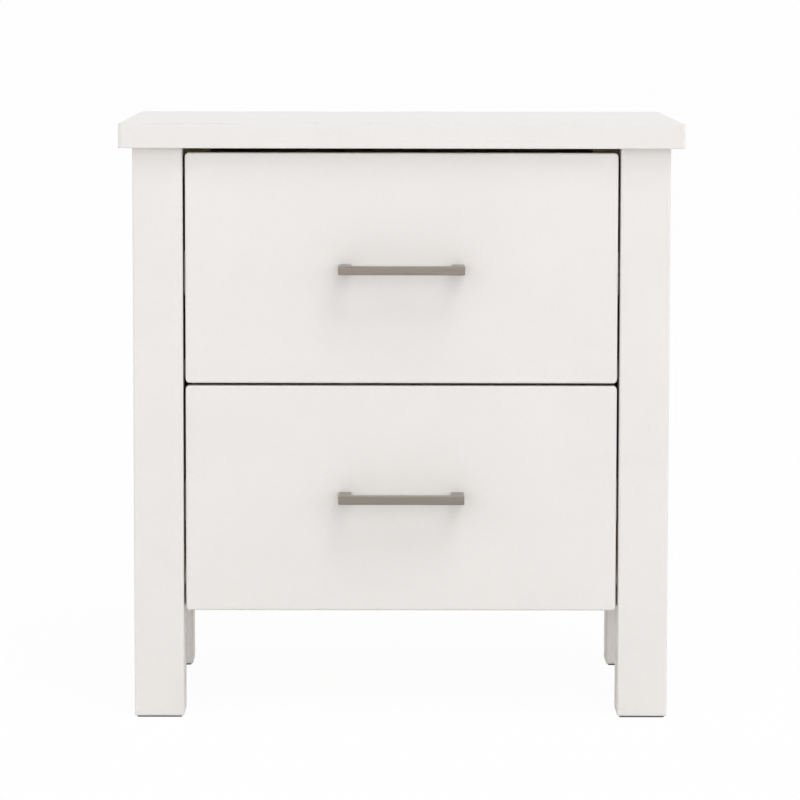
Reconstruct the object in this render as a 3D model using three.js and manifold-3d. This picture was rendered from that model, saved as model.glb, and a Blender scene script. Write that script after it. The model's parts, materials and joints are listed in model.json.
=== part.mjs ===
// A painted nightstand: a thick top on four square legs, and two inset drawers with square bar pulls that
// run on three-member ball-bearing slides. Millimetres, +Z up. The origin is on the floor at the centre of
// the whole piece, pulls included, and the drawers open towards -Y.
import * as THREE from "three";
import { mergeVertices } from "three/addons/utils/BufferGeometryUtils.js";
import Module from "manifold-3d";

const wasm = await Module();
wasm.setup();

// Pieces that touch in the real one keep this small gap, which is also the joint line that the eye sees.
const FIT = 0.3;

// Top
const HEIGHT = 610;
const TOP_WIDTH = 574;
const TOP_DEPTH = 400;
const TOP_THICKNESS = 25;
const TOP_CORNER_RADIUS = 5;
const TOP_EDGE_RADIUS = 3;
const SIDE_OVERHANG = 13.5;
const FRONT_OVERHANG = 14;
const BACK_OVERHANG = 22;

// Legs and the pads that they stand on
const FRONT_LEG = 51;
const REAR_LEG = 45;
const LEG_CORNER_RADIUS = 3;
const LEG_FOOT_RADIUS = 2;
const PAD_INSET = 2.5;
const PAD_THICKNESS = 1;

// Case panels, rails and blocks
const PANEL_RECESS = 6;
const SIDE_PANEL_THICKNESS = 16;
const BACK_PANEL_THICKNESS = 5;
const CASE_BOTTOM = 113;
const RAIL_SETBACK = 20;
const FRONT_RAIL_DEPTH = 25;
const DIVIDER_RISE = 2.6;
const FRONT_RAIL_HEIGHT = 20;
const REAR_RAIL_THICKNESS = 18;
const REAR_RAIL_HEIGHT = 40;
const RUNNER_HEIGHT = 60;
const CORNER_BLOCK_REACH = 55;
const CORNER_BLOCK_NOSE = 12;
const CORNER_BLOCK_HEIGHT = 20;

// Drawers
const DRAWER_GAP = 2.5;
const UPPER_FRONT_TOP = 580;
const UPPER_FRONT_BOTTOM = 345.4;
const LOWER_FRONT_TOP = 342.6;
const LOWER_FRONT_BOTTOM = 111.2;
const FRONT_THICKNESS = 18;
const FRONT_CORNER_RADIUS = 4;
const FRONT_EDGE_RADIUS = 2;
const BOX_RISE = 26;
const BOX_HEIGHT = 170;
const BOX_LENGTH = 300;
const BOX_BOARD = 12;
const BOX_BACK_DROP = 6;
const BOTTOM_PANEL_THICKNESS = 5;
const BOTTOM_PANEL_RISE = 10;
const GROOVE_DEPTH = 5;

// Pulls: a flat bar of one section, bent square at both ends
const PULL_LENGTH = 128;
const PULL_PROJECTION = 38;
const PULL_BAR_WIDTH = 13;
const PULL_BAR_HEIGHT = 8.5;
const PULL_CORNER_RADIUS = 1.4;
const PULL_EDGE_RADIUS = 0.7;
const LOWER_PULL_LIFT = 2.5;
const PULL_SCREW_RADIUS = 2;
const PULL_SCREW_GRIP = 8;
const PULL_SCREW_HEAD_RADIUS = 4.5;
const PULL_SCREW_HEAD_HEIGHT = 2.4;
const SCREW_SIDES = 12;

// Slides: nested channels of one sheet thickness
const SLIDE_THICKNESS = 12.4;
const SLIDE_SHEET = 1.2;
const SLIDE_LENGTH = 300;
const OUTER_HALF_HEIGHT = 22.5;
const OUTER_FLANGE = 9;
const MIDDLE_HALF_HEIGHT = 18.5;
const MIDDLE_WEB_OFFSET = 2.2;
const MIDDLE_FLANGE_END = 9.6;
const MIDDLE_SHORTER = 8;
const INNER_HALF_HEIGHT = 14.5;
const INNER_FLANGE_END = 5.2;

// Rubber buttons that the closed drawer fronts meet
const BUTTON_RADIUS = 4;
const BUTTON_SIDES = 16;
const BUTTON_INSET = 30;

// How finely the small round corners and edges are cut
const CORNER_STEPS = 3;
const EDGE_STEPS = 3;

// Planes and heights that follow from the sizes above. The whole piece is centred on Y with its pulls.
const FRONT_Y = PULL_PROJECTION - (PULL_PROJECTION + TOP_DEPTH - FRONT_OVERHANG) / 2;
const TOP_FRONT_Y = FRONT_Y - FRONT_OVERHANG;
const LEGS_BACK_Y = TOP_FRONT_Y + TOP_DEPTH - BACK_OVERHANG;
const REAR_LEG_FRONT_Y = LEGS_BACK_Y - REAR_LEG;
const PANEL_FRONT_Y = FRONT_Y + FRONT_LEG + FIT;
const PANEL_BACK_Y = REAR_LEG_FRONT_Y - FIT;
const LEG_OUTER_X = TOP_WIDTH / 2 - SIDE_OVERHANG;
const FRONT_LEG_INNER_X = LEG_OUTER_X - FRONT_LEG;
const REAR_LEG_INNER_X = LEG_OUTER_X - REAR_LEG;
const PANEL_OUTER_X = LEG_OUTER_X - PANEL_RECESS;
const PANEL_INNER_X = PANEL_OUTER_X - SIDE_PANEL_THICKNESS;
const UNDER_TOP = HEIGHT - TOP_THICKNESS - FIT;
const FRONT_HALF_WIDTH = FRONT_LEG_INNER_X - DRAWER_GAP;
const FRONT_BACK_Y = FRONT_Y + FRONT_THICKNESS;
const RAIL_FRONT_Y = FRONT_Y + RAIL_SETBACK;
const SLIDE_X = FRONT_LEG_INNER_X - FIT;
const BOX_OUTER_X = SLIDE_X - SLIDE_THICKNESS - FIT;
const BOX_INNER_X = BOX_OUTER_X - BOX_BOARD;
const BOX_BACK_Y = FRONT_BACK_Y + BOX_LENGTH;
const GROOVE_HEIGHT = BOTTOM_PANEL_THICKNESS + 2 * FIT;
const PULL_SCREW_X = (PULL_LENGTH - PULL_BAR_WIDTH) / 2;
const SIDES = [["left", -1], ["right", 1]];

// Each drawer has a rail of the case behind the foot of its front.
const DRAWERS = [
  {
    level: "upper",
    top: UPPER_FRONT_TOP,
    bottom: UPPER_FRONT_BOTTOM,
    pullLift: 0,
    rail: "drawer_divider_rail",
    railZ: UPPER_FRONT_BOTTOM + DIVIDER_RISE,
  },
  {
    level: "lower",
    top: LOWER_FRONT_TOP,
    bottom: LOWER_FRONT_BOTTOM,
    pullLift: LOWER_PULL_LIFT,
    rail: "front_bottom_rail",
    railZ: CASE_BOTTOM,
  },
];

const WHITE_PAINT = new THREE.MeshStandardMaterial({ color: "#eceae7", roughness: 0.45, metalness: 0 });
const PALE_WOOD = new THREE.MeshStandardMaterial({ color: "#d9bf97", roughness: 0.6, metalness: 0 });
const ZINC_STEEL = new THREE.MeshStandardMaterial({ color: "#b9bcc0", roughness: 0.35, metalness: 1 });
const BRUSHED_NICKEL = new THREE.MeshStandardMaterial({ color: "#9a9188", roughness: 0.35, metalness: 1 });
const DARK_FELT = new THREE.MeshStandardMaterial({ color: "#4a443d", roughness: 0.95, metalness: 0 });
const CLEAR_RUBBER = new THREE.MeshStandardMaterial({ color: "#d8d4cc", roughness: 0.7, metalness: 0 });

const nightstand = new THREE.Group();

function add(name, geometry, material, position = [0, 0, 0]) {
  const mesh = new THREE.Mesh(geometry, material);
  mesh.name = name;
  mesh.position.set(...position);
  nightstand.add(mesh);
}

// A box between two corners.
function block(low, high) {
  const bounds = new THREE.Box3(new THREE.Vector3(...low), new THREE.Vector3(...high));
  const size = bounds.getSize(new THREE.Vector3());
  const centre = bounds.getCenter(new THREE.Vector3());
  return new THREE.BoxGeometry(size.x, size.y, size.z).translate(centre.x, centre.y, centre.z);
}

// A box on the left (sign -1) or right (sign 1) half, from its corner nearest the middle to the farthest.
function sideBlock(sign, [nearX, lowY, lowZ], [farX, highY, highZ]) {
  const [lowX, highX] = sign < 0 ? [-farX, -nearX] : [nearX, farX];
  return block([lowX, lowY, lowZ], [highX, highY, highZ]);
}

// A closed outline through the corner points, each corner rounded.
function roundedOutline(corners, radius) {
  const points = corners.map(([x, y]) => new THREE.Vector2(x, y));
  const outline = new THREE.Shape();
  points.forEach((corner, index) => {
    const before = points.at(index - 1);
    const after = points[(index + 1) % points.length];
    const start = before.clone().sub(corner).setLength(radius).add(corner);
    const end = after.clone().sub(corner).setLength(radius).add(corner);
    if (index === 0) outline.moveTo(start.x, start.y);
    else outline.lineTo(start.x, start.y);
    outline.quadraticCurveTo(corner.x, corner.y, end.x, end.y);
  });
  outline.closePath();
  return outline;
}

// The corners of a rectangle around the origin.
function rectangle(width, height) {
  return [[-1, -1], [1, -1], [1, 1], [-1, 1]].map(([x, y]) => [x * width / 2, y * height / 2]);
}

// A board as thick as height along Z, with its outline's edges rounded at both faces, from Z = 0 up.
function easedBoard(outline, height, edgeRadius) {
  return new THREE.ExtrudeGeometry(outline, {
    depth: height - 2 * edgeRadius,
    bevelEnabled: true,
    bevelThickness: edgeRadius,
    bevelSize: edgeRadius,
    bevelOffset: -edgeRadius,
    bevelSegments: EDGE_STEPS,
    curveSegments: CORNER_STEPS,
  }).translate(0, 0, edgeRadius);
}

// An outline drawn in X and Z, extruded along Y between two planes.
function alongY(outline, lowY, highY) {
  const prism = new THREE.ExtrudeGeometry(outline, { depth: highY - lowY, bevelEnabled: false });
  return prism.rotateX(Math.PI / 2).translate(0, highY, 0);
}

function toManifold(geometry) {
  const bare = geometry.clone();
  bare.deleteAttribute("normal");
  bare.deleteAttribute("uv");
  const merged = mergeVertices(bare);
  const vertProperties = new Float32Array(merged.attributes.position.array);
  const triVerts = new Uint32Array(merged.index.array);
  return new wasm.Manifold(new wasm.Mesh({ numProp: 3, vertProperties, triVerts }));
}

function fromManifold(manifold) {
  const mesh = manifold.getMesh();
  const geometry = new THREE.BufferGeometry();
  geometry.setAttribute("position", new THREE.BufferAttribute(new Float32Array(mesh.vertProperties), 3));
  geometry.setIndex(new THREE.BufferAttribute(new Uint32Array(mesh.triVerts), 1));
  geometry.computeVertexNormals();
  return geometry;
}

function cut(geometry, ...tools) {
  const result = tools.reduce((solid, tool) => solid.subtract(toManifold(tool)), toManifold(geometry));
  return fromManifold(result);
}

function addTop() {
  const outline = roundedOutline(rectangle(TOP_WIDTH, TOP_DEPTH), TOP_CORNER_RADIUS);
  const slab = easedBoard(outline, TOP_THICKNESS, TOP_EDGE_RADIUS);
  add("top_panel", slab, WHITE_PAINT, [0, TOP_FRONT_Y + TOP_DEPTH / 2, HEIGHT - TOP_THICKNESS]);
}

// A square leg, rounded at its long edges and at its foot, and cut square under the top.
function addLeg(place, width, x, y) {
  const height = UNDER_TOP - PAD_THICKNESS - FIT;
  const outline = roundedOutline(rectangle(width, width), LEG_CORNER_RADIUS);
  const post = easedBoard(outline, height + 2 * LEG_FOOT_RADIUS, LEG_FOOT_RADIUS);
  const waste = block([-width, -width, height], [width, width, height + 3 * LEG_FOOT_RADIUS]);
  add(`${place}_leg`, cut(post, waste), WHITE_PAINT, [x, y, PAD_THICKNESS + FIT]);
  const padWidth = width - 2 * PAD_INSET;
  const pad = new THREE.BoxGeometry(padWidth, padWidth, PAD_THICKNESS);
  add(`${place}_foot_pad`, pad, DARK_FELT, [x, y, PAD_THICKNESS / 2]);
}

function addLegs() {
  for (const [side, sign] of SIDES) {
    addLeg(`front_${side}`, FRONT_LEG, sign * (LEG_OUTER_X - FRONT_LEG / 2), FRONT_Y + FRONT_LEG / 2);
    addLeg(`rear_${side}`, REAR_LEG, sign * (LEG_OUTER_X - REAR_LEG / 2), LEGS_BACK_Y - REAR_LEG / 2);
  }
}

// The side panels stand between the legs, and the thin back panel closes the space behind the rear rails.
function addPanels() {
  for (const [side, sign] of SIDES) {
    const near = [PANEL_INNER_X, PANEL_FRONT_Y, CASE_BOTTOM];
    add(`${side}_side_panel`, sideBlock(sign, near, [PANEL_OUTER_X, PANEL_BACK_Y, UNDER_TOP]), WHITE_PAINT);
  }
  const backX = REAR_LEG_INNER_X - FIT;
  const backY = LEGS_BACK_Y - PANEL_RECESS;
  const low = [-backX, backY - BACK_PANEL_THICKNESS, CASE_BOTTOM];
  add("back_panel", block(low, [backX, backY, UNDER_TOP]), WHITE_PAINT);
}

function addRails() {
  const frontX = FRONT_LEG_INNER_X - FIT;
  for (const { rail, railZ } of DRAWERS) {
    const far = [frontX, RAIL_FRONT_Y + FRONT_RAIL_DEPTH, railZ + FRONT_RAIL_HEIGHT];
    add(rail, block([-frontX, RAIL_FRONT_Y, railZ], far), WHITE_PAINT);
  }
  const rearX = REAR_LEG_INNER_X - FIT;
  const rearHighY = LEGS_BACK_Y - PANEL_RECESS - BACK_PANEL_THICKNESS - FIT;
  const rearRails = [["rear_top_rail", UNDER_TOP - REAR_RAIL_HEIGHT], ["rear_bottom_rail", CASE_BOTTOM]];
  for (const [name, low] of rearRails) {
    const corner = [-rearX, rearHighY - REAR_RAIL_THICKNESS, low];
    add(name, block(corner, [rearX, rearHighY, low + REAR_RAIL_HEIGHT]), PALE_WOOD);
  }
}

// Three-sided blocks under the top brace each leg against its side panel.
function addCornerBlocks() {
  const ends = [["front", PANEL_FRONT_Y, 1], ["rear", PANEL_BACK_Y, -1]];
  for (const [side, sign] of SIDES) {
    for (const [end, cornerY, inward] of ends) {
      const cornerX = sign * (PANEL_INNER_X - FIT);
      const outline = new THREE.Shape([
        new THREE.Vector2(cornerX, cornerY),
        new THREE.Vector2(cornerX - sign * CORNER_BLOCK_REACH, cornerY),
        new THREE.Vector2(cornerX - sign * CORNER_BLOCK_REACH, cornerY + inward * CORNER_BLOCK_NOSE),
        new THREE.Vector2(cornerX - sign * CORNER_BLOCK_NOSE, cornerY + inward * CORNER_BLOCK_REACH),
        new THREE.Vector2(cornerX, cornerY + inward * CORNER_BLOCK_REACH),
      ]);
      const brace = new THREE.ExtrudeGeometry(outline, { depth: CORNER_BLOCK_HEIGHT, bevelEnabled: false });
      add(`${end}_${side}_corner_block`, brace, PALE_WOOD, [0, 0, UNDER_TOP - CORNER_BLOCK_HEIGHT]);
    }
  }
}

// Two rubber buttons stand on each front rail, where they meet the closed drawer front.
function addButtons() {
  const thickness = RAIL_SETBACK - FRONT_THICKNESS - 2 * FIT;
  for (const { level, railZ } of DRAWERS) {
    for (const [side, sign] of SIDES) {
      const button = new THREE.CylinderGeometry(BUTTON_RADIUS, BUTTON_RADIUS, thickness, BUTTON_SIDES);
      const x = sign * (FRONT_HALF_WIDTH - BUTTON_INSET);
      const y = RAIL_FRONT_Y - FIT - thickness / 2;
      add(`${level}_${side}_stop_button`, button, CLEAR_RUBBER, [x, y, railZ + FRONT_RAIL_HEIGHT / 2]);
    }
  }
}

// A channel in section: a web, and two flanges that reach from it towards the drawer or the case.
function channelOutline(sign, webX, flangeEndX, halfHeight) {
  const step = Math.sign(flangeEndX - webX) * SLIDE_SHEET;
  const corners = [
    [webX, -halfHeight],
    [flangeEndX, -halfHeight],
    [flangeEndX, -halfHeight + SLIDE_SHEET],
    [webX + step, -halfHeight + SLIDE_SHEET],
    [webX + step, halfHeight - SLIDE_SHEET],
    [flangeEndX, halfHeight - SLIDE_SHEET],
    [flangeEndX, halfHeight],
    [webX, halfHeight],
  ];
  return new THREE.Shape(corners.map(([x, z]) => new THREE.Vector2(sign * (SLIDE_X - x), z)));
}

// Each slide is three nested channels: one on the case, one that floats, and one on the drawer.
function addSlides(level, centreZ) {
  const innerLength = BOX_BACK_Y - RAIL_FRONT_Y;
  const members = [
    ["outer", 0, OUTER_FLANGE, OUTER_HALF_HEIGHT, SLIDE_LENGTH],
    ["middle", MIDDLE_WEB_OFFSET, MIDDLE_FLANGE_END, MIDDLE_HALF_HEIGHT, SLIDE_LENGTH - MIDDLE_SHORTER],
    ["inner", SLIDE_THICKNESS, INNER_FLANGE_END, INNER_HALF_HEIGHT, innerLength],
  ];
  for (const [side, sign] of SIDES) {
    for (const [member, webX, flangeEndX, halfHeight, length] of members) {
      const outline = channelOutline(sign, webX, flangeEndX, halfHeight);
      const channel = alongY(outline, RAIL_FRONT_Y, RAIL_FRONT_Y + length);
      add(`${level}_${side}_slide_${member}`, channel, ZINC_STEEL, [0, 0, centreZ]);
    }
    const near = [FRONT_LEG_INNER_X, PANEL_FRONT_Y, centreZ - RUNNER_HEIGHT / 2];
    const far = [PANEL_INNER_X - FIT, PANEL_BACK_Y, centreZ + RUNNER_HEIGHT / 2];
    add(`${level}_${side}_slide_runner`, sideBlock(sign, near, far), PALE_WOOD);
  }
}

// A bore along Y for a pull screw.
function pullScrewBore(sign, y, z, length) {
  const radius = PULL_SCREW_RADIUS + FIT;
  const bore = new THREE.CylinderGeometry(radius, radius, length, SCREW_SIDES);
  return bore.translate(sign * PULL_SCREW_X, y, z);
}

// The front panel, grooved for the bottom panel and bored for the two pull screws.
function addDrawerFront({ level, top, bottom }, boxZ, pullZ) {
  const outline = roundedOutline(rectangle(2 * FRONT_HALF_WIDTH, top - bottom), FRONT_CORNER_RADIUS);
  const panel = easedBoard(outline, FRONT_THICKNESS, FRONT_EDGE_RADIUS);
  panel.rotateX(Math.PI / 2).translate(0, FRONT_BACK_Y, (top + bottom) / 2);
  const grooveLow = [-BOX_INNER_X - GROOVE_DEPTH, FRONT_BACK_Y - GROOVE_DEPTH, boxZ + BOTTOM_PANEL_RISE];
  const grooveHigh = [-grooveLow[0], FRONT_BACK_Y + GROOVE_DEPTH, grooveLow[2] + GROOVE_HEIGHT];
  const groove = block(grooveLow, grooveHigh);
  const bores = SIDES.map(([, sign]) => pullScrewBore(sign, FRONT_Y, pullZ, 3 * FRONT_THICKNESS));
  add(`${level}_drawer_front`, cut(panel, groove, ...bores), WHITE_PAINT);
}

function addDrawerBox(level, boxZ) {
  const bottomZ = boxZ + BOTTOM_PANEL_RISE;
  for (const [side, sign] of SIDES) {
    const boardNear = [BOX_INNER_X, FRONT_BACK_Y + FIT, boxZ];
    const board = sideBlock(sign, boardNear, [BOX_OUTER_X, BOX_BACK_Y, boxZ + BOX_HEIGHT]);
    const grooveNear = [BOX_INNER_X - BOX_BOARD, FRONT_Y, bottomZ];
    const grooveFar = [BOX_INNER_X + GROOVE_DEPTH, BOX_BACK_Y + BOX_BOARD, bottomZ + GROOVE_HEIGHT];
    add(`${level}_drawer_${side}_side`, cut(board, sideBlock(sign, grooveNear, grooveFar)), PALE_WOOD);
  }
  const panelZ = bottomZ + FIT;
  const panelX = BOX_INNER_X + GROOVE_DEPTH - FIT;
  const panel = block(
    [-panelX, FRONT_BACK_Y - GROOVE_DEPTH + FIT, panelZ],
    [panelX, BOX_BACK_Y, panelZ + BOTTOM_PANEL_THICKNESS],
  );
  add(`${level}_drawer_bottom`, panel, PALE_WOOD);
  const backX = BOX_INNER_X - FIT;
  const back = block(
    [-backX, BOX_BACK_Y - BOX_BOARD, panelZ + BOTTOM_PANEL_THICKNESS + FIT],
    [backX, BOX_BACK_Y, boxZ + BOX_HEIGHT - BOX_BACK_DROP],
  );
  add(`${level}_drawer_back`, back, PALE_WOOD);
}

function addPull(level, pullZ) {
  const outerX = PULL_LENGTH / 2;
  const innerX = outerX - PULL_BAR_WIDTH;
  const faceY = FRONT_Y - FIT;
  const farY = FRONT_Y - PULL_PROJECTION;
  const nearY = farY + PULL_BAR_WIDTH;
  const outline = roundedOutline([
    [-outerX, faceY], [-outerX, farY], [outerX, farY], [outerX, faceY],
    [innerX, faceY], [innerX, nearY], [-innerX, nearY], [-innerX, faceY],
  ], PULL_CORNER_RADIUS);
  const bar = easedBoard(outline, PULL_BAR_HEIGHT, PULL_EDGE_RADIUS);
  bar.translate(0, 0, pullZ - PULL_BAR_HEIGHT / 2);
  const bores = SIDES.map(([, sign]) => pullScrewBore(sign, FRONT_Y, pullZ, 2 * (PULL_SCREW_GRIP + FIT)));
  add(`${level}_drawer_pull`, cut(bar, ...bores), BRUSHED_NICKEL);
}

// A screw from inside the drawer, through the front and into the foot of the pull.
function addPullScrews(level, pullZ) {
  const headY = FRONT_THICKNESS + FIT;
  for (const [side, sign] of SIDES) {
    const profile = [
      new THREE.Vector2(0, -PULL_SCREW_GRIP),
      new THREE.Vector2(PULL_SCREW_RADIUS, -PULL_SCREW_GRIP),
      new THREE.Vector2(PULL_SCREW_RADIUS, headY),
      new THREE.Vector2(PULL_SCREW_HEAD_RADIUS, headY),
      new THREE.Vector2(PULL_SCREW_HEAD_RADIUS / 2, headY + PULL_SCREW_HEAD_HEIGHT),
      new THREE.Vector2(0, headY + PULL_SCREW_HEAD_HEIGHT),
    ];
    const screw = new THREE.LatheGeometry(profile, SCREW_SIDES);
    add(`${level}_${side}_pull_screw`, screw, ZINC_STEEL, [sign * PULL_SCREW_X, FRONT_Y, pullZ]);
  }
}

addTop();
addLegs();
addPanels();
addRails();
addCornerBlocks();
addButtons();
for (const drawer of DRAWERS) {
  const boxZ = drawer.bottom + BOX_RISE;
  const pullZ = (drawer.top + drawer.bottom) / 2 + drawer.pullLift;
  addSlides(drawer.level, boxZ + BOX_HEIGHT / 2);
  addDrawerFront(drawer, boxZ, pullZ);
  addDrawerBox(drawer.level, boxZ);
  addPull(drawer.level, pullZ);
  addPullScrews(drawer.level, pullZ);
}

export default nightstand;
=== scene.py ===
"""The painted nightstand's finished look: eased edges, fixings, ball cages and surface finishes."""

import functools
import json
import math

import bmesh
import bpy
from mathutils import Matrix, Vector


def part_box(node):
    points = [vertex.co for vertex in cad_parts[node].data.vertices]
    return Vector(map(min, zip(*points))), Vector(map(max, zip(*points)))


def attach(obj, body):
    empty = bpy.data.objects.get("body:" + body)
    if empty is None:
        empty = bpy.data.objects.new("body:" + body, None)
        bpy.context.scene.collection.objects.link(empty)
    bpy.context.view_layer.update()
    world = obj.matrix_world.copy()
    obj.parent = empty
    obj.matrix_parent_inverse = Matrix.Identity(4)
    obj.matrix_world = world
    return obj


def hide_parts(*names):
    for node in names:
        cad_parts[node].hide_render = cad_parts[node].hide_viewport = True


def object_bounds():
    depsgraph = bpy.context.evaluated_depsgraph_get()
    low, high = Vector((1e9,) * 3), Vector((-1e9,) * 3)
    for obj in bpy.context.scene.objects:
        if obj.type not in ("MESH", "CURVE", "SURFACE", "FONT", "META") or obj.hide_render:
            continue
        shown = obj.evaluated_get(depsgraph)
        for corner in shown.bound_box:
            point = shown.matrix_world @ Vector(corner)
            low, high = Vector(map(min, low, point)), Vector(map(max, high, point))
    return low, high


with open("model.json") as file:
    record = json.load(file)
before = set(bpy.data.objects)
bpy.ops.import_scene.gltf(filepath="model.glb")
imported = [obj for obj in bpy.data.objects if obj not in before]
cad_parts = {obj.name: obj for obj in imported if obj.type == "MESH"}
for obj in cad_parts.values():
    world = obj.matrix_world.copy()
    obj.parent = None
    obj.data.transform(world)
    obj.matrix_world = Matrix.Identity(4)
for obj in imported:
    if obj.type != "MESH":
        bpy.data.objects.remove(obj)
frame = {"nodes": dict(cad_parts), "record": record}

bl_info = {
    "name": "Painted Nightstand",
    "version": (1, 0, 0),
    "blender": (4, 5, 0),
    "location": "3D View > Sidebar > Nightstand",
    "description": "Builds the finished pieces of a painted nightstand around its frame",
    "category": "Object",
}

MM = 0.001
X, Y, Z = range(3)
WHITE = (1.0, 1.0, 1.0, 1.0)
LEVELS = ("upper", "lower")
SIDES = {"left": -1, "right": 1}         # which way each lies along X
ENDS = {"front": -1, "rear": 1}          # which way each lies along Y
SHEET = 1.2 * MM                         # steel of the slides
FIT = 0.3 * MM                           # gap between a panel and its groove
PULL_STOCK = 13 * MM                     # depth of a pull's bar, and width of its posts
SHARP = math.radians(40)                 # edges that turn by more than this are rounded
FLAT = math.radians(1)                   # faces that turn by less than this are merged
ALIGNED = 0.999                          # cosine over which two directions count as one
PAINTED_BOARDS = (
    "left_side_panel", "right_side_panel", "back_panel", "drawer_divider_rail", "front_bottom_rail",
)
BACK_SCREWS_IN_A_ROW = 5
BALLS_IN_A_ROW = 11
SLIDE_SCREWS_ALONG = (0.12, 0.5, 0.88)   # shares of the length of an inner member
BLOCK_SCREW_IN = 0.36                    # share of a corner block's width, from its outer sides
CAD_LOW, CAD_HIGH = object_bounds()
BODIES = frame["record"]["behaviour"]["bodies"]
BODY_OF = {node: body for body, nodes in BODIES.items() for node in nodes}


# ---------------------------------------------------------------- sizes, colours and studio


def linear(hex_colour):
    """An sRGB hex colour as linear RGBA."""
    shares = [int(hex_colour[i:i + 2], 16) / 255 for i in (1, 3, 5)]
    return [s / 12.92 if s <= 0.04045 else ((s + 0.055) / 1.055) ** 2.4 for s in shares] + [1.0]


def size(name, description, millimetres):
    """A length in metres, given in millimetres."""
    return bpy.props.FloatProperty(
        name=name, description=description, default=millimetres * MM, precision=5, unit="LENGTH",
    )


def colour(name, description, hex_colour):
    """A linear colour, given as sRGB hex."""
    return bpy.props.FloatVectorProperty(
        name=name, description=description, default=linear(hex_colour),
        size=4, min=0, max=1, subtype="COLOR",
    )


def angle(name, description, degrees):
    """An angle in radians, given in degrees."""
    return bpy.props.FloatProperty(
        name=name, description=description, default=math.radians(degrees), precision=4, subtype="ANGLE",
    )


def amount(name, description, default, unit="NONE"):
    """A number with its unit, if it has one."""
    return bpy.props.FloatProperty(name=name, description=description, default=default, unit=unit)


class NightstandSizes(bpy.types.PropertyGroup):
    """How far the edges of each kind of piece are rounded, and the sizes of the small fixings."""

    top_corner: size("Top corner", "Radius of the top's four corners seen from above", 5)
    top_edge: size("Top edge", "Radius of the top's upper edges", 1.2)
    top_underside: size("Top underside", "Radius of the top's lower edges", 1)
    leg_edge: size("Leg edge", "Radius of a leg's four long edges", 2.4)
    leg_foot: size("Leg foot", "Radius of the edges round a leg's foot", 2.2)
    pad_corner: size("Pad corner", "Radius of a foot pad's four corners seen from above", 2)
    pad_edge: size("Pad edge", "Radius of a foot pad's upper edges", 0.4)
    front_corner: size("Drawer front corner", "Radius of a drawer front's four corners", 4)
    front_edge: size("Drawer front edge", "Radius of a drawer front's long edges", 2)
    painted_arris: size("Painted arris", "Radius of the edges of painted panels and rails", 1.2)
    raw_arris: size("Raw arris", "Radius of the edges of unpainted boards", 0.7)
    thin_arris: size("Thin arris", "Radius of the edges of the drawer bottoms", 0.4)
    button_edge: size("Button edge", "Radius of a stop button's rim", 0.8)
    steel_end: size("Steel end", "Width of the deburred edges at the ends of a slide", 0.15)
    pull_edge: size("Pull edge", "Radius of the edges of a pull", 0.8)
    screw_head: size("Screw head", "Radius of the screw heads", 3.5)
    cam_disc: size("Cam disc", "Radius of the cam locks in the drawer sides", 7.5)
    ball: size("Ball", "Radius of the balls in the slides", 1.3)
    cage: size("Cage", "Thickness of the strips that keep the balls apart", 0.6)


class NightstandColours(bpy.types.PropertyGroup):
    """The colours of the finishes."""

    paint: colour("Paint", "Satin paint on all that shows when the drawers are closed", "#EDEAE7")
    nickel: colour("Nickel", "Brushed nickel of the pulls", "#9A9288")
    zinc: colour("Zinc", "Zinc-plated steel of the slides and screws", "#BBBEC1")
    birch: colour("Birch", "Lacquered birch ply of the drawer boxes", "#EAD7B5")
    poplar: colour("Poplar", "Planed poplar of the runners, rear rails and corner blocks", "#DBC79C")
    # The dark felt is partly painted shadow: the foot pads stand in for the thin contact shadow under
    # each leg.
    felt: colour("Felt", "Pressed felt of the foot pads", "#5A534B")
    rubber: colour("Rubber", "Translucent rubber of the stop buttons", "#D9D6CF")
    sweep: colour("Sweep", "White paper that the nightstand stands on", "#EFEFEF")


class NightstandStudio(bpy.types.PropertyGroup):
    """Where the camera stands, and how bright the lights are."""

    distance: size("Distance", "From the plane of the drawer fronts to the camera", 4063)
    height: size("Height", "Height of the camera over the floor", 747)
    offset: size("Offset", "How far left of the middle the camera stands", 16.5)
    pitch: angle("Pitch", "Downward tilt of the camera", 5.884)
    yaw: angle("Yaw", "Turn of the camera to the right", 0.214)
    roll: angle("Roll", "Lean of the camera to the left", 0.1)
    lens: amount("Lens", "Focal length", 180.16, unit="CAMERA")
    walls: amount("Walls", "Light from the foot of the white walls", 1.82)
    ceiling: amount("Ceiling", "Light from the ceiling", 0.28)
    lean: amount("Lean", "How much brighter the right wall is, and darker the left one", 0.1)
    seen_white: amount("Seen white", "How white the room looks", 0.99)
    glow: amount("Glow", "How far the paper glows white", 0.96)
    key_side: angle("Key side", "How far to the right of the camera the softbox hangs", 28)
    key_rise: angle("Key rise", "Height of the softbox over the horizon", 60)
    key_distance: size("Key distance", "From the nightstand to the softbox", 8000)
    key_size: size("Key size", "Length of the softbox's sides", 3800)
    key: amount("Key", "Power of the softbox", 146, unit="POWER")


# ---------------------------------------------------------------- finishes


def add_node(tree, kind, inputs=(), output=None, **settings):
    """Adds a shader node with its settings and returns an output.

    An input is found by its name or number, and is given a value or an output to link.
    """
    made = tree.nodes.new("ShaderNode" + kind)
    for name, value in settings.items():
        setattr(made, name, value)
    for name, value in dict(inputs).items():
        named = [socket for socket in made.inputs if socket.name == name and socket.enabled]
        socket = named[0] if named else made.inputs[name]
        if isinstance(value, bpy.types.NodeSocket):
            tree.links.new(value, socket)
        else:
            socket.default_value = value
    return next((s for s in made.outputs if s.enabled and output in (None, s.name)), None)


def new_finish(name):
    """An empty node material, its tree and its object coordinates."""
    material = bpy.data.materials.new(name)
    material.use_nodes = True
    material.node_tree.nodes.clear()
    place = add_node(material.node_tree, "TexCoord", output="Object")
    return material, material.node_tree, place


def close_finish(tree, inputs):
    """Ends a finish with a Principled shader."""
    surface = add_node(tree, "BsdfPrincipled", inputs)
    add_node(tree, "OutputMaterial", {"Surface": surface})


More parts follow.
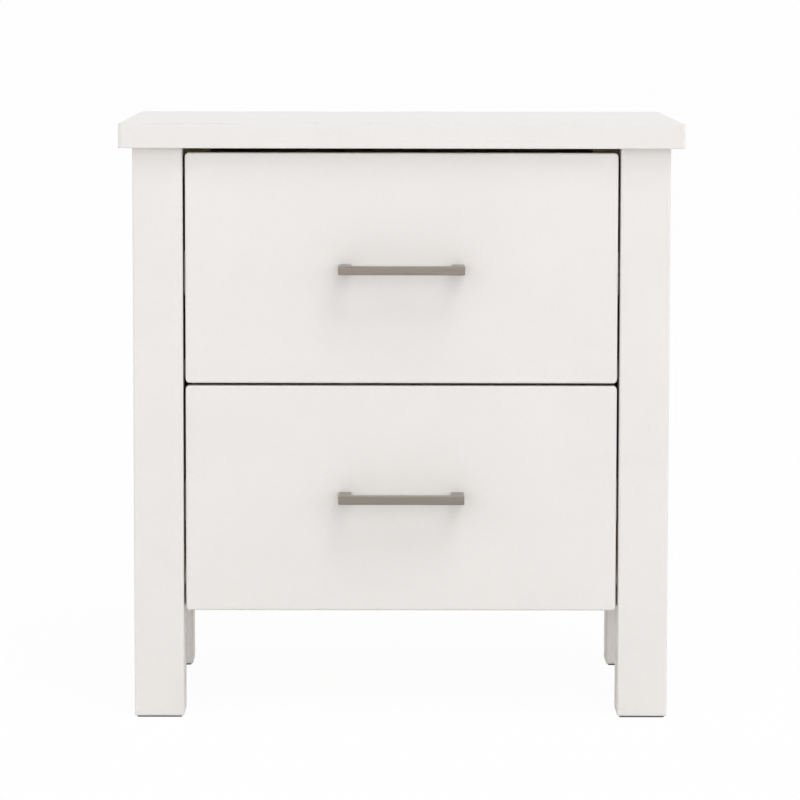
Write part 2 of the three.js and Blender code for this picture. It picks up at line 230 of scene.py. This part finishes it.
def pattern(tree, place, millimetres, detail=2.0):
    """Noise from 0 to 1 whose marks are so many millimetres long along X, Y and Z."""
    mapped = add_node(tree, "Mapping", {"Vector": place, "Scale": [1 / (m * MM) for m in millimetres]})
    noise = add_node(tree, "TexNoise", {"Vector": mapped, "Scale": 1.0, "Detail": detail}, output="Fac")
    # Raw noise lies mostly between 0.3 and 0.7.
    return add_node(tree, "MapRange", {"Value": noise, "From Min": 0.3, "From Max": 0.7})


def tint(tree, under, share, first, second):
    """The colour underneath, multiplied by one that runs from first to second as the share grows."""
    over = add_node(tree, "Mix", {"Factor": share, "A": first, "B": second}, data_type="RGBA")
    layers = {"Factor": 1.0, "A": under, "B": over}
    return add_node(tree, "Mix", layers, data_type="RGBA", blend_type="MULTIPLY")


def grey(share):
    return (share, share, share, 1.0)


def along(axis, length, width):
    """Sizes of a long mark that lies along an axis."""
    return [length if i == axis else width for i in range(3)]


@functools.cache
def satin_paint():
    """Satin lacquer sprayed on sanded fibreboard: even white, with faint orange peel in highlights."""
    material, tree, place = new_finish("satin_paint_sprayed_on_fibreboard")
    film = pattern(tree, place, (70, 70, 70))
    speckle = pattern(tree, place, (3.5, 3.5, 3.5))
    # Real orange peel is 0.5 to 1 mm wide. It is drawn at 2 mm so that it shows.
    peel = pattern(tree, place, (2, 2, 2), detail=1.0)
    paint = bpy.context.scene.nightstand_colours.paint
    drifting = tint(tree, paint, film, grey(0.985), WHITE)
    close_finish(tree, {
        "Base Color": tint(tree, drifting, speckle, grey(0.985), WHITE),
        "Roughness": add_node(tree, "MapRange", {"Value": speckle, "To Min": 0.4, "To Max": 0.48}),
        "IOR": 1.48,
        "Normal": add_node(tree, "Bump", {"Height": peel, "Strength": 0.35, "Distance": 0.016 * MM}),
    })
    return material


@functools.cache
def brushed_nickel(axis):
    """Nickel plated on a bar brushed along its length: fine streaks that stretch the reflections."""
    material, tree, place = new_finish(f"nickel_plate_brushed_along_{'xyz'[axis]}")
    # Real brush lines are 0.1 mm wide. They are drawn 0.35 and 0.9 mm wide so that they show.
    coarse = pattern(tree, place, along(axis, 60, 0.9))
    fine = pattern(tree, place, along(axis, 14, 0.35))
    nickel = bpy.context.scene.nightstand_colours.nickel
    streaked = tint(tree, nickel, coarse, grey(0.886), WHITE)
    close_finish(tree, {
        "Base Color": tint(tree, streaked, fine, grey(0.93), WHITE),
        "Metallic": 1.0,
        "Roughness": add_node(tree, "MapRange", {"Value": coarse, "To Min": 0.26, "To Max": 0.38}),
        "Normal": add_node(tree, "Bump", {"Height": fine, "Strength": 0.3, "Distance": 0.012 * MM}),
    })
    return material


@functools.cache
def zinc_plated_steel():
    """Rolled sheet with clear zinc plating: grey metal, with faint blotches and draw lines."""
    material, tree, place = new_finish("steel_sheet_zinc_plated")
    blotches = pattern(tree, place, (14, 14, 14), detail=3.0)
    lines = pattern(tree, place, along(Y, 40, 0.8))
    zinc = bpy.context.scene.nightstand_colours.zinc
    blotched = tint(tree, zinc, blotches, grey(0.86), WHITE)
    close_finish(tree, {
        "Base Color": tint(tree, blotched, lines, grey(0.93), WHITE),
        "Metallic": 1.0,
        "Roughness": add_node(tree, "MapRange", {"Value": blotches, "To Min": 0.28, "To Max": 0.42}),
        "Normal": add_node(tree, "Bump", {"Height": lines, "Strength": 0.2, "Distance": 0.012 * MM}),
    })
    return material


@functools.cache
def birch_ply(thickness_axis, grain_axis, low, high, dark_plies):
    """Birch ply under clear lacquer: pale straight grain on faces, light and dark plies on edges."""
    millimetres = round((high - low) / MM)
    material, tree, place = new_finish(f"birch_ply_lacquered_{'xyz'[thickness_axis]}_{millimetres}mm")
    figure = pattern(tree, place, along(grain_axis, 260, 14), detail=4.0)
    fibre = pattern(tree, place, along(grain_axis, 22, 0.8))
    depth = add_node(tree, "SeparateXYZ", {"Vector": place}, output="XYZ"[thickness_axis])
    # The cosine peaks on both faces, so a face shows one pale ply and only the edges show the stack.
    # Real plies are 1.4 mm thick. They are drawn 2 mm thick so that they show.
    turns = add_node(tree, "MapRange", {
        "Value": depth, "From Min": low, "From Max": high, "To Max": math.tau * dark_plies,
    })
    wave = add_node(tree, "Math", {"Value": turns}, operation="COSINE")
    ply = add_node(tree, "MapRange", {"Value": wave, "From Min": -0.7, "From Max": -0.1})
    birch = bpy.context.scene.nightstand_colours.birch
    grown = tint(tree, birch, figure, linear("#E4D8C6"), WHITE)
    fibrous = tint(tree, grown, fibre, linear("#EEE3D3"), WHITE)
    close_finish(tree, {
        "Base Color": tint(tree, fibrous, ply, linear("#C7A684"), WHITE),
        "Roughness": add_node(tree, "MapRange", {"Value": fibre, "To Min": 0.42, "To Max": 0.55}),
        "Coat Weight": 0.15,
        "Coat Roughness": 0.3,
        "Normal": add_node(tree, "Bump", {"Height": fibre, "Strength": 0.3, "Distance": 0.02 * MM}),
    })
    return material


@functools.cache
def planed_poplar(grain_axis):
    """Planed poplar with no finish: creamy, with faint olive bands and a dry, woolly surface."""
    material, tree, place = new_finish(f"poplar_planed_along_{'xyz'[grain_axis]}")
    bands = pattern(tree, place, along(grain_axis, 300, 9), detail=4.0)
    fibre = pattern(tree, place, along(grain_axis, 16, 0.7))
    poplar = bpy.context.scene.nightstand_colours.poplar
    banded = tint(tree, poplar, bands, linear("#D3D6B9"), WHITE)
    close_finish(tree, {
        "Base Color": tint(tree, banded, fibre, linear("#DDD0BA"), WHITE),
        "Roughness": add_node(tree, "MapRange", {"Value": fibre, "To Min": 0.62, "To Max": 0.8}),
        "Normal": add_node(tree, "Bump", {"Height": fibre, "Strength": 0.4, "Distance": 0.03 * MM}),
    })
    return material


@functools.cache
def felt_dark_as_foot_shadow():
    """Dense wool felt cut from sheet: quite matt, with a short fuzz. It is dark partly as painted
    shadow, for the thin contact shadow under each leg.
    """
    material, tree, place = new_finish("wool_felt_dark_as_foot_shadow")
    fuzz = pattern(tree, place, (0.9, 0.9, 0.9), detail=4.0)
    # Dark felt: partly the pads' own colour, partly painted contact shadow under the legs.
    felt = bpy.context.scene.nightstand_colours.felt
    close_finish(tree, {
        "Base Color": tint(tree, felt, fuzz, grey(0.4), WHITE),
        "Roughness": 0.95,
        "Sheen Weight": 0.4,
        "Sheen Roughness": 0.5,
        "Normal": add_node(tree, "Bump", {"Height": fuzz, "Strength": 0.8, "Distance": 0.12 * MM}),
    })
    return material


@functools.cache
def clear_rubber():
    """Soft polyurethane cast in a dome: milky and translucent, with a gentle gloss."""
    material, tree, place = new_finish("polyurethane_rubber_cast")
    cloud = pattern(tree, place, (4, 4, 4))
    rubber = bpy.context.scene.nightstand_colours.rubber
    close_finish(tree, {
        "Base Color": tint(tree, rubber, cloud, grey(0.92), WHITE),
        "Roughness": add_node(tree, "MapRange", {"Value": cloud, "To Min": 0.28, "To Max": 0.36}),
        "Subsurface Weight": 0.4,
        "Subsurface Scale": 1.5 * MM,
    })
    return material


@functools.cache
def sweep_paper():
    """Matt white background paper, lit so evenly from below that hardly a shadow shows on it."""
    material, tree, place = new_finish("background_paper_matt")
    tooth = pattern(tree, place, (8, 8, 8))
    sweep = bpy.context.scene.nightstand_colours.sweep
    fibrous = tint(tree, sweep, tooth, grey(0.995), WHITE)
    paper = add_node(tree, "BsdfDiffuse", {"Color": fibrous, "Roughness": 1.0})
    glow = add_node(tree, "Emission", {"Color": WHITE, "Strength": 1.0})
    seen = add_node(tree, "LightPath", output="Is Camera Ray")
    studio = bpy.context.scene.nightstand_studio
    share = add_node(tree, "MapRange", {"Value": seen, "To Max": studio.glow})
    mixed = add_node(tree, "MixShader", {"Fac": share, 1: paper, 2: glow})
    add_node(tree, "OutputMaterial", {"Surface": mixed})
    return material


# ---------------------------------------------------------------- shapes


def box_shape(low, high):
    """A bmesh box between two corners."""
    shape = bmesh.new()
    place = Matrix.Translation((low + high) / 2) @ Matrix.Diagonal((*(high - low), 1))
    bmesh.ops.create_cube(shape, size=1, matrix=place)
    shape.normal_update()
    return shape


def side_of(box, axis, sign):
    """The coordinate of the side of a box that faces one way along an axis."""
    low, high = box
    return high[axis] if sign > 0 else low[axis]


def round_edges(shape, edges, radius, segments):
    bmesh.ops.bevel(
        shape, geom=list(edges), offset=radius, offset_type="OFFSET",
        affect="EDGES", segments=segments, profile=0.5, material=-1,
    )
    shape.normal_update()


def edges_along(shape, axis):
    """The straight edges that run along an axis."""
    found = []
    for edge in shape.edges:
        run = edge.verts[1].co - edge.verts[0].co
        if abs(run[axis]) > ALIGNED * run.length:
            found.append(edge)
    return found


def rim(shape, axis, sign):
    """The edges round the flat end that faces one way along an axis."""
    ends = [face for face in shape.faces if face.normal[axis] * sign > ALIGNED]
    return [edge for edge in shape.edges if sum(face in ends for face in edge.link_faces) == 1]


def clean_copy(node):
    """A CAD node's own shape, its loose triangles merged into clean faces."""
    shape = bmesh.new()
    shape.from_mesh(frame["nodes"][node].data)
    bmesh.ops.remove_doubles(shape, verts=shape.verts, dist=0.01 * MM)
    bmesh.ops.dissolve_limit(shape, angle_limit=FLAT, verts=shape.verts, edges=shape.edges)
    return shape


def sharp_edges(shape):
    return [edge for edge in shape.edges if edge.is_manifold and edge.calc_face_angle() > SHARP]


def eased_copy(node, radius, segments=2):
    """A CAD node's own shape with its sharp edges rounded."""
    shape = clean_copy(node)
    round_edges(shape, sharp_edges(shape), radius, segments)
    return shape


def make_piece(name, shape, finish, body):
    """Turns a bmesh into a visible piece that rides on a body. Broad faces keep their own normals."""
    mesh = bpy.data.meshes.new(name)
    shape.to_mesh(mesh)
    shape.free()
    mesh.materials.append(finish)
    mesh.shade_smooth()
    mesh.set_sharp_from_angle(angle=math.radians(50))
    piece = bpy.data.objects.new(name, mesh)
    bpy.context.scene.collection.objects.link(piece)
    piece.modifiers.new("Weighted normals", "WEIGHTED_NORMAL").keep_sharp = True
    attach(piece, body)
    return piece


def stand_for(node, shape, finish):
    """Makes the piece that is seen in place of a CAD node."""
    piece = make_piece(f"{node}_finished", shape, finish, BODY_OF[node])
    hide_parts(node)


def facing(axis, sign):
    """A rotation that turns +Z to face one way along an axis."""
    direction = Vector([sign if i == axis else 0 for i in range(3)])
    return direction.to_track_quat("Z", "Y").to_matrix().to_4x4()


def add_part(shape, part, place=Matrix()):
    """Moves one bmesh into another at a place."""
    part.transform(place)
    mesh = bpy.data.meshes.new("part")
    part.to_mesh(mesh)
    part.free()
    shape.from_mesh(mesh)
    bpy.data.meshes.remove(mesh)


def cross_head(radius, height):
    """A domed screw head with a cross recess; it stands on the XY plane and looks along +Z."""
    head = bmesh.new()
    bmesh.ops.create_cone(
        head, cap_ends=True, segments=24, radius1=radius, radius2=radius, depth=height / 2,
        matrix=Matrix.Translation((0, 0, height / 4)),
    )
    top = max(head.faces, key=lambda face: face.calc_center_median().z)
    # The dome rises in two steps, given as shares of the radius and of the height.
    for width, rise in ((0.14, 0.3), (0.3, 0.2)):
        bmesh.ops.inset_region(
            head, faces=[top], thickness=width * radius, depth=rise * height, use_even_offset=True,
        )
    # The recess is a cross whose corners lie on the 24 spokes of the head.
    arm = 0.5 * radius
    half = arm * math.tan(math.radians(15))
    centre = top.calc_center_median()
    for vert in top.verts:
        spoke = (vert.co - centre).normalized()
        x, y = (max(abs(share), 1e-6) for share in spoke.xy)
        vert.co = centre + spoke * max(min(arm / x, half / y), min(half / x, arm / y))
    sunk = bmesh.ops.extrude_discrete_faces(head, faces=[top])["faces"][0]
    for vert in sunk.verts:
        vert.co = centre + (vert.co - centre) * 0.7 - Vector((0, 0, height * 0.6))
    head.normal_update()
    return head


def screw_heads(places, radius, height):
    """One bmesh with a cross-recess head at each place."""
    shape = bmesh.new()
    for place in places:
        add_part(shape, cross_head(radius, height), place)
    return shape


# ---------------------------------------------------------------- operators


class NIGHTSTAND_OT_top(bpy.types.Operator):
    """Make the painted top with its rounded edges and corners"""

    bl_idname = "nightstand.top"
    bl_label = "Top"

    def execute(self, context):
        sizes = context.scene.nightstand_sizes
        shape = box_shape(*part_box("top_panel"))
        round_edges(shape, edges_along(shape, Z), sizes.top_corner, 6)
        round_edges(shape, rim(shape, Z, 1), sizes.top_edge, 5)
        round_edges(shape, rim(shape, Z, -1), sizes.top_underside, 3)
        stand_for("top_panel", shape, satin_paint())
        return {"FINISHED"}


class NIGHTSTAND_OT_legs(bpy.types.Operator):
    """Make the four legs and the felt pads that they stand on"""

    bl_idname = "nightstand.legs"
    bl_label = "Legs and pads"

    def execute(self, context):
        sizes = context.scene.nightstand_sizes
        for end in ENDS:
            for side in SIDES:
                leg = box_shape(*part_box(f"{end}_{side}_leg"))
                round_edges(leg, edges_along(leg, Z), sizes.leg_edge, 5)
                round_edges(leg, rim(leg, Z, -1), sizes.leg_foot, 4)
                stand_for(f"{end}_{side}_leg", leg, satin_paint())
                # The dark felt pad also stands in for the contact shadow under the leg, as painted
                # shadow.
                pad = box_shape(*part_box(f"{end}_{side}_foot_pad"))
                round_edges(pad, edges_along(pad, Z), sizes.pad_corner, 4)
                round_edges(pad, rim(pad, Z, 1), sizes.pad_edge, 2)
                stand_for(f"{end}_{side}_foot_pad", pad, felt_dark_as_foot_shadow())
        return {"FINISHED"}


class NIGHTSTAND_OT_case(bpy.types.Operator):
    """Make the panels, rails, slide runners and corner blocks, with the screws that hold them"""

    bl_idname = "nightstand.case"
    bl_label = "Case"

    def execute(self, context):
        sizes = context.scene.nightstand_sizes
        for node in PAINTED_BOARDS:
            stand_for(node, eased_copy(node, sizes.painted_arris), satin_paint())
        for node in ("rear_top_rail", "rear_bottom_rail"):
            stand_for(node, eased_copy(node, sizes.raw_arris), planed_poplar(X))
        for side in SIDES:
            for level in LEVELS:
                node = f"{level}_{side}_slide_runner"
                stand_for(node, eased_copy(node, sizes.raw_arris), planed_poplar(Y))
            for end in ENDS:
                node = f"{end}_{side}_corner_block"
                stand_for(node, eased_copy(node, sizes.raw_arris), planed_poplar(X))
        self.add_back_screws(sizes)
        self.add_block_screws(sizes)
        return {"FINISHED"}

    def add_back_screws(self, sizes):
        """Screws hold the back panel to the upper and lower rear rails."""
        low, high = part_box("back_panel")
        heights = [sum(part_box(rail), Vector()).z / 2 for rail in ("rear_top_rail", "rear_bottom_rail")]
        inset = 40 * MM
        step = (high.x - low.x - 2 * inset) / (BACK_SCREWS_IN_A_ROW - 1)
        places = [
            Matrix.Translation((low.x + inset + step * i, high.y, z)) @ facing(Y, 1)
            for z in heights for i in range(BACK_SCREWS_IN_A_ROW)
        ]
        shape = screw_heads(places, sizes.screw_head, height=1.8 * MM)
        make_piece("back_panel_screws", shape, zinc_plated_steel(), "case")

    def add_block_screws(self, sizes):
        """One screw goes up through each corner block into the top."""
        places = []
        for end, end_sign in ENDS.items():
            for side, side_sign in SIDES.items():
                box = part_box(f"{end}_{side}_corner_block")
                low, high = box
                reach = BLOCK_SCREW_IN * (high.x - low.x)
                x = side_of(box, X, side_sign) - side_sign * reach
                y = side_of(box, Y, end_sign) - end_sign * reach
                places.append(Matrix.Translation((x, y, low.z)) @ facing(Z, -1))
        shape = screw_heads(places, sizes.screw_head, height=2.2 * MM)
        make_piece("corner_block_screws", shape, zinc_plated_steel(), "case")


class NIGHTSTAND_OT_stop_buttons(bpy.types.Operator):
    """Make the rubber buttons that the closed drawer fronts meet"""

    bl_idname = "nightstand.stop_buttons"
    bl_label = "Stop buttons"

    def execute(self, context):
        sizes = context.scene.nightstand_sizes
        for level in LEVELS:
            for side in SIDES:
                node = f"{level}_{side}_stop_button"
                low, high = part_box(node)
                shape = bmesh.new()
                radius = (high.z - low.z) / 2
                bmesh.ops.create_cone(
                    shape, cap_ends=True, segments=32,
                    radius1=radius, radius2=radius, depth=high.y - low.y,
                    matrix=Matrix.Translation((low + high) / 2) @ facing(Y, -1),
                )
                shape.normal_update()
                round_edges(shape, rim(shape, Y, -1), sizes.button_edge, 4)
                stand_for(node, shape, clear_rubber())
        return {"FINISHED"}


class NIGHTSTAND_OT_slides(bpy.types.Operator):
    """Make the slide members with their rolled corners, ball cages and screws"""

    bl_idname = "nightstand.slides"
    bl_label = "Slides"

    def execute(self, context):
        sizes = context.scene.nightstand_sizes
        for level in LEVELS:
            for side, sign in SIDES.items():
                for member, web_sign in (("outer", sign), ("middle", sign), ("inner", -sign)):
                    node = f"{level}_{side}_slide_{member}"
                    shape = self.rolled_channel(node, web_sign, sizes.steel_end)
                    stand_for(node, shape, zinc_plated_steel())
                self.add_cages(level, side, sizes)
                self.add_screws(level, side, sign, sizes)
        return {"FINISHED"}

    def rolled_channel(self, node, web_sign, end_edge):
        """The CAD channel, its sheet bent round the corners of its web, which faces one way along X."""
        shape = clean_copy(node)
        web = side_of(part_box(node), X, web_sign)
        for depth, radius in ((0, 2 * SHEET), (SHEET, SHEET)):
            plane = web - web_sign * depth
            corners = [
                edge for edge in edges_along(shape, Y) if abs(edge.verts[0].co.x - plane) < 0.05 * MM
            ]
            round_edges(shape, corners, radius, 4)
        ends = [edge for face in shape.faces if abs(face.normal.y) > ALIGNED for edge in face.edges]
        round_edges(shape, set(ends), end_edge, 1)
        return shape

    def add_cages(self, level, side, sizes):
        """Two cages lie between the outer and middle members, and two between middle and inner."""
        outer_low, outer_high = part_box(f"{level}_{side}_slide_outer")
        middle_low, middle_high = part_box(f"{level}_{side}_slide_middle")
        inner_low, inner_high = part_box(f"{level}_{side}_slide_inner")
        side_gap = 2 * MM
        middle_gap = 4 * MM
        end_gap = 6 * MM
        near, far = middle_low.x + side_gap, middle_high.x - side_gap
        middle_y = (middle_low.y + middle_high.y) / 2
        rear_half = (middle_y + middle_gap, middle_high.y - end_gap)
        front_half = (middle_low.y + end_gap, middle_y - middle_gap)
        rows = [
            ((outer_high.z - SHEET + middle_high.z) / 2, *rear_half),
            ((outer_low.z + SHEET + middle_low.z) / 2, *rear_half),
            ((middle_high.z - SHEET + inner_high.z) / 2, *front_half),
            ((middle_low.z + SHEET + inner_low.z) / 2, *front_half),
        ]
        half = sizes.cage / 2
        cages = bmesh.new()
        balls = bmesh.new()
        for z, start, end in rows:
            add_part(cages, box_shape(Vector((near, start, z - half)), Vector((far, end, z + half))))
            for i in range(BALLS_IN_A_ROW):
                y = start + (end - start) * (i + 0.5) / BALLS_IN_A_ROW
                bmesh.ops.create_uvsphere(
                    balls, u_segments=8, v_segments=6, radius=sizes.ball,
                    matrix=Matrix.Translation(((near + far) / 2, y, z)),
                )
        body = f"{level}_slide_middles"
        make_piece(f"{level}_{side}_slide_cages", cages, zinc_plated_steel(), body)
        make_piece(f"{level}_{side}_slide_balls", balls, zinc_plated_steel(), body)

    def add_screws(self, level, side, sign, sizes):
        """Three pan-head screws hold the inner member to the drawer side."""
        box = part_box(f"{level}_{side}_slide_inner")
        low, high = box
        x = side_of(box, X, -sign) + sign * SHEET
        z = (low.z + high.z) / 2
        places = [
            Matrix.Translation((x, low.y + (high.y - low.y) * share, z)) @ facing(X, sign)
            for share in SLIDE_SCREWS_ALONG
        ]
        shape = screw_heads(places, sizes.screw_head, height=1.6 * MM)
        name = f"{level}_{side}_slide_screws"
        make_piece(name, shape, zinc_plated_steel(), f"{level}_drawer")


class NIGHTSTAND_OT_drawer_fronts(bpy.types.Operator):
    """Make the painted drawer fronts with their rounded edges and the groove for the bottom panel"""

    bl_idname = "nightstand.drawer_fronts"
    bl_label = "Drawer fronts"

    def execute(self, context):
        sizes = context.scene.nightstand_sizes
        for level in LEVELS:
            node = f"{level}_drawer_front"
            shape = box_shape(*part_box(node))
            round_edges(shape, edges_along(shape, Y), sizes.front_corner, 6)
            round_edges(shape, rim(shape, Y, -1) + rim(shape, Y, 1), sizes.front_edge, 5)
            self.cut_groove(shape, f"{level}_drawer_bottom")
            stand_for(node, shape, satin_paint())
        return {"FINISHED"}

    def cut_groove(self, shape, bottom):
        """Sinks the groove that holds the bottom panel into the back of a front."""
        low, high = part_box(bottom)
        back = max(vert.co.y for vert in shape.verts)
        cuts = (
            ((low.x - FIT, 0, 0), (1, 0, 0)),
            ((high.x + FIT, 0, 0), (1, 0, 0)),
            ((0, 0, low.z - FIT), (0, 0, 1)),
            ((0, 0, high.z + FIT), (0, 0, 1)),
        )
        for point, normal in cuts:
            flat = [face for face in shape.faces if face.normal.y > ALIGNED]
            parts = flat + list({edge for face in flat for edge in face.edges})
            parts += list({vert for face in flat for vert in face.verts})
            bmesh.ops.bisect_plane(shape, geom=parts, plane_co=point, plane_no=normal)
        floor = min(
            (face for face in shape.faces if face.normal.y > ALIGNED),
            key=lambda face: (face.calc_center_median() - (low + high) / 2).xz.length,
        )
        sunk = bmesh.ops.extrude_discrete_faces(shape, faces=[floor])["faces"][0]
        bmesh.ops.translate(shape, verts=sunk.verts, vec=(0, low.y - FIT - back, 0))


class NIGHTSTAND_OT_drawer_boxes(bpy.types.Operator):
    """Make the birch ply drawer boxes and the cam locks that draw them to the fronts"""

    bl_idname = "nightstand.drawer_boxes"
    bl_label = "Drawer boxes"

    def execute(self, context):
        sizes = context.scene.nightstand_sizes
        for level in LEVELS:
            boards = (
                ("left_side", X, Y, 3, sizes.raw_arris),
                ("right_side", X, Y, 3, sizes.raw_arris),
                ("back", Y, X, 3, sizes.raw_arris),
                ("bottom", Z, X, 1, sizes.thin_arris),
            )
            for board, thickness_axis, grain_axis, dark_plies, arris in boards:
                node = f"{level}_drawer_{board}"
                low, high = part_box(node)
                faces = (low[thickness_axis], high[thickness_axis])
                ply = birch_ply(thickness_axis, grain_axis, *faces, dark_plies)
                stand_for(node, eased_copy(node, arris), ply)
            self.add_cam_locks(level, sizes)
        return {"FINISHED"}

    def add_cam_locks(self, level, sizes):
        """Two cam discs in each side, turned from inside the drawer."""
        behind_front = 34 * MM
        above_bottom = 40 * MM
        below_top = 36 * MM
        places = []
        for side, sign in SIDES.items():
            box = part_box(f"{level}_drawer_{side}_side")
            low, high = box
            inner = side_of(box, X, -sign)
            for z in (low.z + above_bottom, high.z - below_top):
                places.append(Matrix.Translation((inner, low.y + behind_front, z)) @ facing(X, -sign))
        shape = screw_heads(places, sizes.cam_disc, height=0.9 * MM)
        name = f"{level}_drawer_cam_locks"
        make_piece(name, shape, zinc_plated_steel(), f"{level}_drawer")


class NIGHTSTAND_OT_pulls(bpy.types.Operator):
    """Make the two brushed nickel pulls and the screws that hold them"""

    bl_idname = "nightstand.pulls"
    bl_label = "Pulls"

    def execute(self, context):
        sizes = context.scene.nightstand_sizes
        for level in LEVELS:
            self.add_pull(f"{level}_drawer_pull", sizes)
            for side in SIDES:
                self.add_pull_screw(f"{level}_{side}_pull_screw")
        return {"FINISHED"}

    def add_pull(self, node, sizes):
        """A flat bar with a post drawn back from each end, every edge slightly rounded."""
        low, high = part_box(node)
        bar = box_shape(low, Vector((high.x, low.y + PULL_STOCK, high.z)))
        for x in (low.x + PULL_STOCK, high.x - PULL_STOCK):
            everything = bar.verts[:] + bar.edges[:] + bar.faces[:]
            bmesh.ops.bisect_plane(bar, geom=everything, plane_co=(x, 0, 0), plane_no=(1, 0, 0))
        bar.normal_update()
        backs = [face for face in bar.faces if face.normal.y > ALIGNED]
        inner_end = high.x - PULL_STOCK
        posts = [face for face in backs if abs(face.calc_center_median().x) > inner_end]
        drawn = bmesh.ops.extrude_discrete_faces(bar, faces=posts)["faces"]
        for face in drawn:
            bmesh.ops.translate(bar, verts=face.verts, vec=(0, high.y - low.y - PULL_STOCK, 0))
        bmesh.ops.dissolve_limit(bar, angle_limit=FLAT, verts=bar.verts, edges=bar.edges)
        round_edges(bar, sharp_edges(bar), sizes.pull_edge, 4)
        stand_for(node, bar, brushed_nickel(X))

    def add_pull_screw(self, node):
        """A domed cross-recess head with a plain shank into the pull."""
        low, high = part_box(node)
        centre = (low + high) / 2
        head_height = 2.4 * MM
        head_y = high.y - head_height
        place = Matrix.Translation((centre.x, head_y, centre.z)) @ facing(Y, 1)
        shape = screw_heads([place], (high.x - low.x) / 2, head_height)
        shank = 2 * MM
        bmesh.ops.create_cone(
            shape, cap_ends=True, segments=20, radius1=shank, radius2=shank, depth=head_y - low.y,
            matrix=place @ Matrix.Translation((0, 0, (low.y - head_y) / 2)),
        )
        stand_for(node, shape, zinc_plated_steel())


class NIGHTSTAND_OT_studio(bpy.types.Operator):
    """Lay the white floor, hang the lights and set up the camera"""

    bl_idname = "nightstand.studio"
    bl_label = "Studio"

    def execute(self, context):
        studio = context.scene.nightstand_studio
        self.lay_floor(context)
        self.light_room(context, studio)
        self.add_key(context, studio)
        self.add_camera(context, studio)
        context.scene.view_settings.view_transform = "Standard"
        return {"FINISHED"}

    def lay_floor(self, context):
        shape = bmesh.new()
        reach = 60  # metres, so that its edge lies far behind the nightstand from every side
        bmesh.ops.create_grid(shape, x_segments=8, y_segments=8, size=reach)
        mesh = bpy.data.meshes.new("studio_floor")
        shape.to_mesh(mesh)
        shape.free()
        mesh.materials.append(sweep_paper())
        floor = bpy.data.objects.new("studio_floor", mesh)
        context.scene.collection.objects.link(floor)

    def light_room(self, context, studio):
        """White walls, brightest at their foot and on the right. Seen directly they are clean white."""
        world = bpy.data.worlds.new("white_room")
        world.use_nodes = True
        tree = world.node_tree
        tree.nodes.clear()
        direction = add_node(tree, "TexCoord", output="Generated")
        height = add_node(tree, "SeparateXYZ", {"Vector": direction}, output="Z")
        side = add_node(tree, "SeparateXYZ", {"Vector": direction}, output="X")
        # The light falls off evenly from level with the floor to almost straight overhead.
        rise = add_node(tree, "MapRange", {
            "Value": height, "From Max": 0.9, "To Min": studio.walls, "To Max": studio.ceiling,
        })
        lean = add_node(tree, "MapRange", {
            "Value": side, "From Min": -1.0, "To Min": 1 - studio.lean, "To Max": 1 + studio.lean,
        })
        light = add_node(tree, "Math", {0: rise, 1: lean}, operation="MULTIPLY")
        seen = add_node(tree, "LightPath", output="Is Camera Ray")
        looks = {"Factor": seen, "A": light, "B": studio.seen_white}
        strength = add_node(tree, "Mix", looks, data_type="FLOAT")
        background = add_node(tree, "Background", {"Color": WHITE, "Strength": strength})
        add_node(tree, "OutputWorld", {"Surface": background})
        context.scene.world = world

    def add_key(self, context, studio):
        """A softbox high in front and to the right, for soft shadows below the top and the pulls."""
        light = bpy.data.lights.new("softbox", "AREA")
        light.shape = "RECTANGLE"
        light.size = light.size_y = studio.key_size
        light.energy = studio.key
        softbox = bpy.data.objects.new("softbox", light)
        context.scene.collection.objects.link(softbox)
        target = Vector((0, CAD_LOW.y, (CAD_LOW.z + CAD_HIGH.z) / 2))
        turn = Matrix.Rotation(studio.key_side, 3, "Z") @ Matrix.Rotation(-studio.key_rise, 3, "X")
        softbox.location = target + turn @ Vector((0, -studio.key_distance, 0))
        softbox.rotation_euler = (target - softbox.location).to_track_quat("-Z", "Y").to_euler()

    def add_camera(self, context, studio):
        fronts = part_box("upper_drawer_front")[0].y
        lens = bpy.data.cameras.new("camera")
        lens.lens = studio.lens
        lens.clip_end = 200
        camera = bpy.data.objects.new("camera", lens)
        context.scene.collection.objects.link(camera)
        place = Matrix.Translation((-studio.offset, fronts - studio.distance, studio.height))
        tilt = Matrix.Rotation(math.pi / 2 - studio.pitch, 4, "X")
        turn = Matrix.Rotation(-studio.yaw, 4, "Z") @ tilt
        camera.matrix_world = place @ turn @ Matrix.Rotation(studio.roll, 4, "Z")
        context.scene.camera = camera


class NIGHTSTAND_PT_pieces(bpy.types.Panel):
    """Sidebar panel that lists the nightstand's operators and settings"""

    bl_idname = "NIGHTSTAND_PT_pieces"
    bl_label = "Nightstand"
    bl_space_type = "VIEW_3D"
    bl_region_type = "UI"
    bl_category = "Nightstand"

    def draw(self, context):
        for maker in MAKERS:
            self.layout.operator(maker.bl_idname)
        for name, group in GROUPS.items():
            column = self.layout.column()
            for setting in group.__annotations__:
                column.prop(getattr(context.scene, name), setting)


GROUPS = {
    "nightstand_sizes": NightstandSizes,
    "nightstand_colours": NightstandColours,
    "nightstand_studio": NightstandStudio,
}
MAKERS = (
    NIGHTSTAND_OT_top,
    NIGHTSTAND_OT_legs,
    NIGHTSTAND_OT_case,
    NIGHTSTAND_OT_stop_buttons,
    NIGHTSTAND_OT_slides,
    NIGHTSTAND_OT_drawer_fronts,
    NIGHTSTAND_OT_drawer_boxes,
    NIGHTSTAND_OT_pulls,
    NIGHTSTAND_OT_studio,
)
CLASSES = (*GROUPS.values(), *MAKERS, NIGHTSTAND_PT_pieces)


def register():
    for cls in CLASSES:
        bpy.utils.register_class(cls)
    for name, group in GROUPS.items():
        setattr(bpy.types.Scene, name, bpy.props.PointerProperty(type=group))


def unregister():
    for name in GROUPS:
        delattr(bpy.types.Scene, name)
    for cls in reversed(CLASSES):
        bpy.utils.unregister_class(cls)


def main():
    register()
    for maker in MAKERS:
        category, name = maker.bl_idname.split(".")
        getattr(getattr(bpy.ops, category), name)()


if __name__ == "__main__":
    main()
